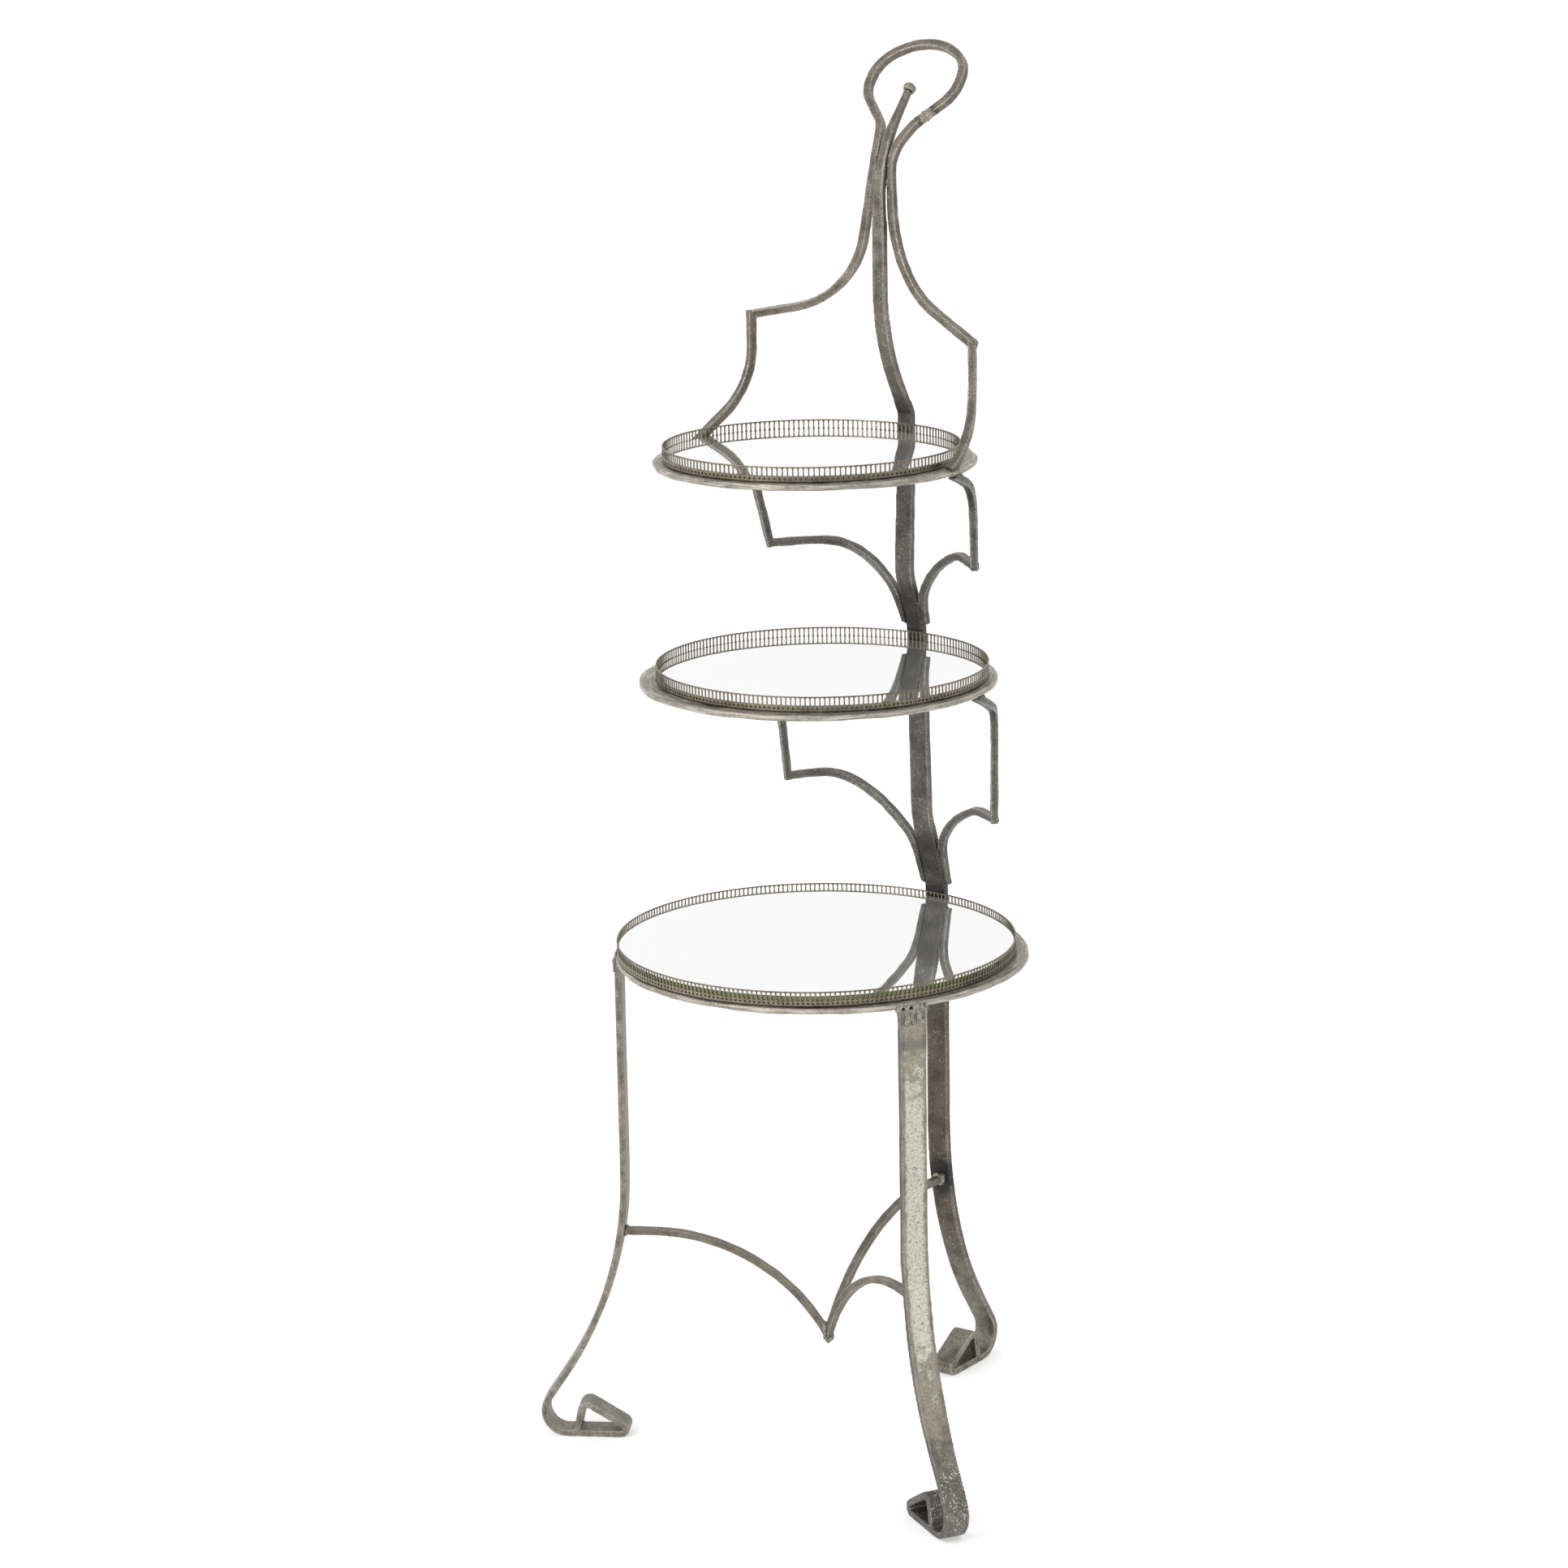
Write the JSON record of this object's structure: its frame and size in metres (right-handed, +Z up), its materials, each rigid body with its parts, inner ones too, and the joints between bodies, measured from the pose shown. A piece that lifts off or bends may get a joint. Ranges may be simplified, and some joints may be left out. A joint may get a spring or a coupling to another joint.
{
  "type": "three-tier serving stand",
  "caption": "Tall forged iron serving stand with tiered rings, a leaning loop handle and folded feet, carrying loose round mirrored trays with pierced brass galleries.",
  "frame": {"origin": "middle of the whole model's bounding box, on the floor", "axes": "+Z up, -Y towards the front between the two front legs, +X to the viewer's right as seen from the front; the rear leg and the spine are on the +Y side"},
  "size_m": [0.448, 0.4276, 1.1959],
  "materials": {
    "forged_iron": "burnished wrought iron, mottled and pitted",
    "gallery_brass": "tarnished olive-brown brass with a rubbed rim",
    "tray_brass": "dull tarnished brass sheet",
    "backing_card": "plain grey-brown board",
    "mirror_glass": "silvered glass with a faint green edge"
  },
  "bodies": {
    "stand": {"spine_bar": "forged_iron", "finial_ball": "forged_iron", "left_leg": "forged_iron", "right_leg": "forged_iron", "bottom_ring": "forged_iron", "middle_ring": "forged_iron", "top_ring": "forged_iron", "left_handle_arm": "forged_iron", "right_handle_arm": "forged_iron", "top_left_bracket": "forged_iron", "top_right_bracket": "forged_iron", "middle_left_bracket": "forged_iron", "middle_right_bracket": "forged_iron", "rear_stretcher": "forged_iron", "left_stretcher": "forged_iron", "right_stretcher": "forged_iron", "leg_welds": "forged_iron", "stretcher_welds": "forged_iron"},
    "bottom_tray": {"bottom_tray_pan": "tray_brass", "bottom_tray_gallery_band": "gallery_brass", "bottom_tray_gallery_bars": "gallery_brass", "bottom_tray_gallery_rim": "gallery_brass", "bottom_tray_backing_pad": "backing_card", "bottom_tray_mirror": "mirror_glass"},
    "middle_tray": {"middle_tray_pan": "tray_brass", "middle_tray_gallery_band": "gallery_brass", "middle_tray_gallery_bars": "gallery_brass", "middle_tray_gallery_rim": "gallery_brass", "middle_tray_backing_pad": "backing_card", "middle_tray_mirror": "mirror_glass"},
    "top_tray": {"top_tray_pan": "tray_brass", "top_tray_gallery_band": "gallery_brass", "top_tray_gallery_bars": "gallery_brass", "top_tray_gallery_rim": "gallery_brass", "top_tray_backing_pad": "backing_card", "top_tray_mirror": "mirror_glass"}
  },
  "joints": [
    {"name": "bottom_tray_lift", "type": "slide", "parent": "stand", "child": "bottom_tray", "axis": [0, -0.9063, 0.4226], "range_m": [0, 0.1]},
    {"name": "middle_tray_lift", "type": "slide", "parent": "stand", "child": "middle_tray", "axis": [0, -0.9063, 0.4226], "range_m": [0, 0.1]},
    {"name": "top_tray_lift", "type": "slide", "parent": "stand", "child": "top_tray", "axis": [0, -0.9063, 0.4226], "range_m": [0, 0.1]}
  ]
}
